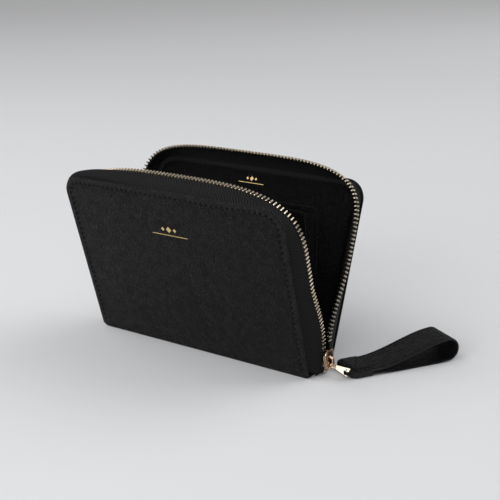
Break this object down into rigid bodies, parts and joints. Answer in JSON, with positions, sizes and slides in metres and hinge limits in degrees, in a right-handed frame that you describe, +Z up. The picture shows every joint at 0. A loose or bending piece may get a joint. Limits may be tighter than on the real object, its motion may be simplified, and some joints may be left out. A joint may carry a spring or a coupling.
{
  "type": "zip around wallet",
  "caption": "Leather zip-around wallet standing open on its spine, with lined covers, card slots, a middle coin pocket and a wrist strap on the puller.",
  "frame": {"origin": "middle of the spine's underside, on the surface that the wallet stands on", "axes": "+X along the spine towards the strap, +Y to the rear cover, +Z up"},
  "size_m": [0.1905, 0.1024, 0.1001],
  "materials": {
    "leather": "fine pebble grain, satin",
    "lining": "fine grain, satin",
    "board": "matt",
    "zip_tape": "herringbone weave, matt",
    "zip_metal": "polished pale gold",
    "slider_metal": "polished rose gold"
  },
  "bodies": {
    "spine": {"spine_leather": "leather", "spine_lining": "lining", "zip_end_tab_left": "leather", "zip_end_tab_right": "leather", "zip_bottom_stop": "zip_metal"},
    "front_fold": {"front_fold_roll": "leather"},
    "front_cover": {"front_outer_leather": "leather", "front_board": "board", "front_lining": "lining", "front_slip_pocket": "lining", "front_card_slot_1": "lining", "front_card_slot_2": "lining", "front_zip_tape": "zip_tape", "front_zip_teeth": "zip_metal", "front_zip_top_stop": "zip_metal"},
    "rear_fold": {"rear_fold_roll": "leather"},
    "rear_cover": {"rear_outer_leather": "leather", "rear_board": "board", "rear_lining": "lining", "rear_slip_pocket": "lining", "rear_zip_tape": "zip_tape", "rear_zip_teeth": "zip_metal", "rear_zip_top_stop": "zip_metal"},
    "slider": {"slider_body": "slider_metal", "slider_bridge": "slider_metal"},
    "pull": {"pull_tab": "slider_metal"},
    "strap": {"strap_tongue": "leather", "strap_tab": "leather", "strap_loop": "leather"},
    "coin_pocket": {"coin_front_wall": "leather", "coin_back_wall": "leather", "coin_base": "lining", "coin_gusset_left": "lining", "coin_gusset_right": "lining", "coin_tape_front": "zip_tape", "coin_tape_back": "zip_tape", "coin_zip_teeth": "zip_metal", "coin_zip_stop": "zip_metal"},
    "coin_slider": {"coin_slider_body": "slider_metal", "coin_slider_bridge": "slider_metal"},
    "coin_pull": {"coin_pull_tab": "slider_metal"}
  },
  "joints": [
    {"name": "rear_cover_zip", "type": "hinge", "parent": "spine", "child": "rear_fold", "pos_m": [0, 0.0105, 0.0015], "axis": [-1, 0, 0], "range_deg": [-20, 0], "deforming": ["rear_zip_tape", "rear_zip_teeth"]},
    {"name": "rear_cover_open", "type": "hinge", "parent": "rear_fold", "child": "rear_cover", "pos_m": [0, 0.0105, 0.0015], "axis": [-1, 0, 0], "range_deg": [0, 60]},
    {"name": "front_cover_zip", "type": "hinge", "parent": "spine", "child": "front_fold", "pos_m": [0, -0.0105, 0.0015], "axis": [1, 0, 0], "range_deg": [-16.5, 0], "deforming": ["front_zip_tape", "front_zip_teeth"]},
    {"name": "front_cover_open", "type": "hinge", "parent": "front_fold", "child": "front_cover", "pos_m": [0, -0.0105, 0.0015], "axis": [1, 0, 0], "range_deg": [0, 60]},
    {"name": "zip_slide", "type": "slide", "parent": "spine", "child": "slider", "axis": [0, 0, 1], "range_m": [0, 0.05]},
    {"name": "pull_hinge", "type": "hinge", "parent": "slider", "child": "pull", "pos_m": [0.07355, 0, 0.0054], "axis": [0, -1, 0], "range_deg": [-30, 50]},
    {"name": "strap_swing", "type": "hinge", "parent": "pull", "child": "strap", "pos_m": [0.08278, 0, 0.00361], "axis": [0, 0, 1], "range_deg": [-100, 0]},
    {"name": "coin_pocket_tilt", "type": "hinge", "parent": "spine", "child": "coin_pocket", "pos_m": [0, 0, 0.0025], "axis": [1, 0, 0], "range_deg": [-3.2, 0]},
    {"name": "coin_zip_slide", "type": "slide", "parent": "coin_pocket", "child": "coin_slider", "axis": [1, 0, 0], "range_m": [0, 0.096], "deforming": ["coin_zip_teeth"]},
    {"name": "coin_pull_hinge", "type": "hinge", "parent": "coin_slider", "child": "coin_pull", "pos_m": [-0.0526, -0.00385, 0.07895], "axis": [0, -1, 0], "range_deg": [0, 120]}
  ],
  "couplings": [
    {"joint": "front_cover_zip", "follows": "rear_cover_zip", "ratio": 0.825},
    {"joint": "coin_pocket_tilt", "follows": "rear_cover_zip", "ratio": 0.16},
    {"joint": "zip_slide", "follows": "rear_cover_zip", "m_per_rad": -0.14322}
  ]
}
